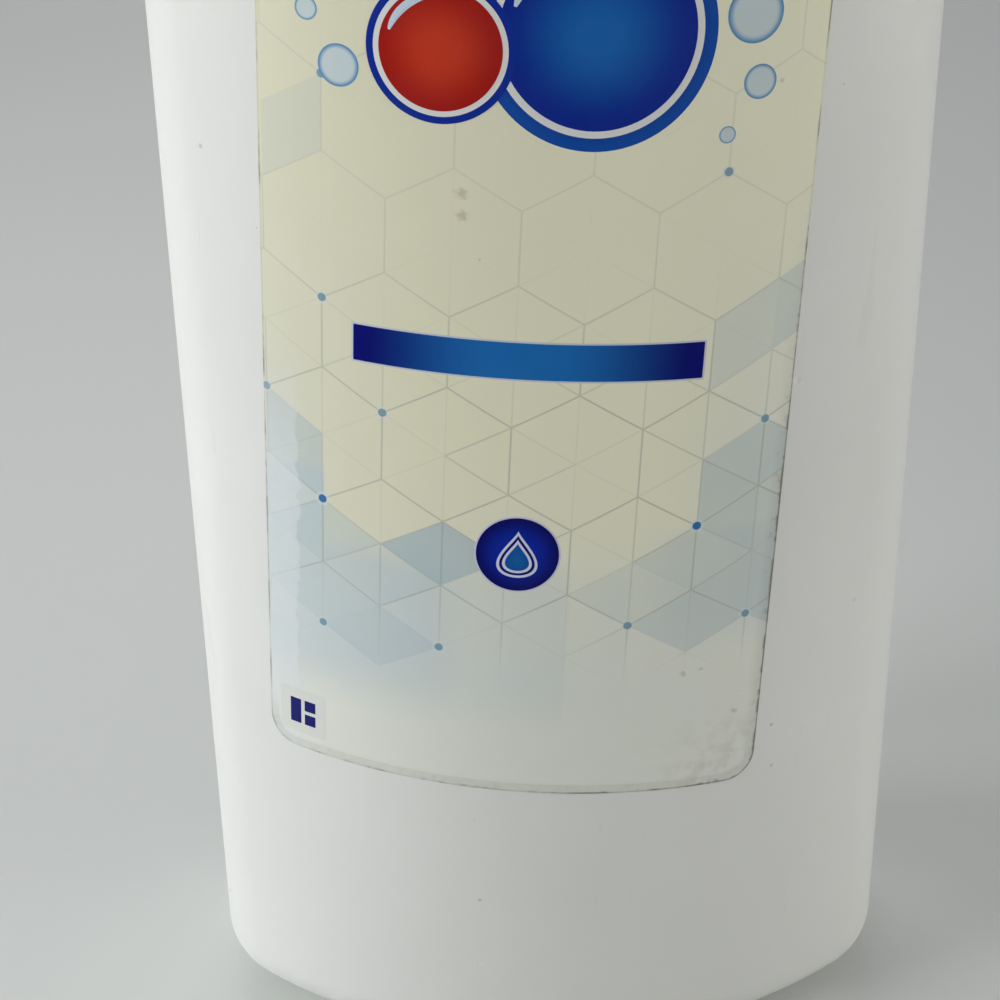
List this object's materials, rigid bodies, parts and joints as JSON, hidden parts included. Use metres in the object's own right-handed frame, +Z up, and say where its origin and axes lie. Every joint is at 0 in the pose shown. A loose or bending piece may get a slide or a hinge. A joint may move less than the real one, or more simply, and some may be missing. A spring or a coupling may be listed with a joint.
{
  "type": "hand soap pump bottle",
  "caption": "White oblong plastic soap bottle with a printed front label and a screw-on lotion pump that swivels and presses down.",
  "frame": {"origin": "on the surface that the bottle stands on, on the pump's axis in the middle of the body", "axes": "+Z up along the pump's axis, -Y out of the front label, +X to the right as seen from the front"},
  "size_m": [0.1044, 0.0734, 0.2801],
  "materials": {
    "bottle_white": "satin blown polyethylene",
    "label_film": "printed satin film",
    "label_back_film": "printed satin film",
    "closure_white": "moulded, satin",
    "gasket_foam": "soft foam",
    "natural_plastic": "natural, slightly milky",
    "pump_white": "moulded, smooth",
    "piston_plastic": "soft, natural",
    "spring_steel": "drawn wire",
    "ball_steel": "polished",
    "tube_plastic": "extruded, milky"
  },
  "bodies": {
    "bottle": {"bottle": "bottle_white", "front_label": "label_film", "back_label": "label_back_film"},
    "pump": {"pump_housing": "natural_plastic", "lock_collar": "pump_white", "neck_gasket": "gasket_foam", "dip_tube": "tube_plastic", "return_spring": "spring_steel"},
    "closure": {"closure": "closure_white"},
    "outlet_seat": {"piston_seat": "natural_plastic"},
    "piston": {"piston": "piston_plastic"},
    "head": {"pump_head": "pump_white", "stem": "pump_white"},
    "inlet_ball": {"inlet_ball": "ball_steel"}
  },
  "joints": [
    {"name": "pump_lift", "type": "slide", "parent": "bottle", "child": "pump", "axis": [0, 0, 1], "range_m": [0, 0.228]},
    {"name": "closure_turn", "type": "hinge", "parent": "pump", "child": "closure", "pos_m": [0, 0, 0.23], "axis": [0, 0, 1], "range_deg": [0, 360]},
    {"name": "pump_stroke", "type": "slide", "parent": "pump", "child": "outlet_seat", "axis": [0, 0, -1], "range_m": [0, 0.019], "stiffness_N_per_m": 400, "springref_m": -0.002, "deforming": ["return_spring"]},
    {"name": "head_turn", "type": "hinge", "parent": "outlet_seat", "child": "head", "pos_m": [0, 0, 0.26], "axis": [0, 0, 1], "continuous": true},
    {"name": "piston_slip", "type": "slide", "parent": "outlet_seat", "child": "piston", "axis": [0, 0, 1], "range_m": [0, 0.0012]},
    {"name": "inlet_ball_lift", "type": "slide", "parent": "pump", "child": "inlet_ball", "axis": [0, 0, 1], "range_m": [0, 0.0024]}
  ]
}
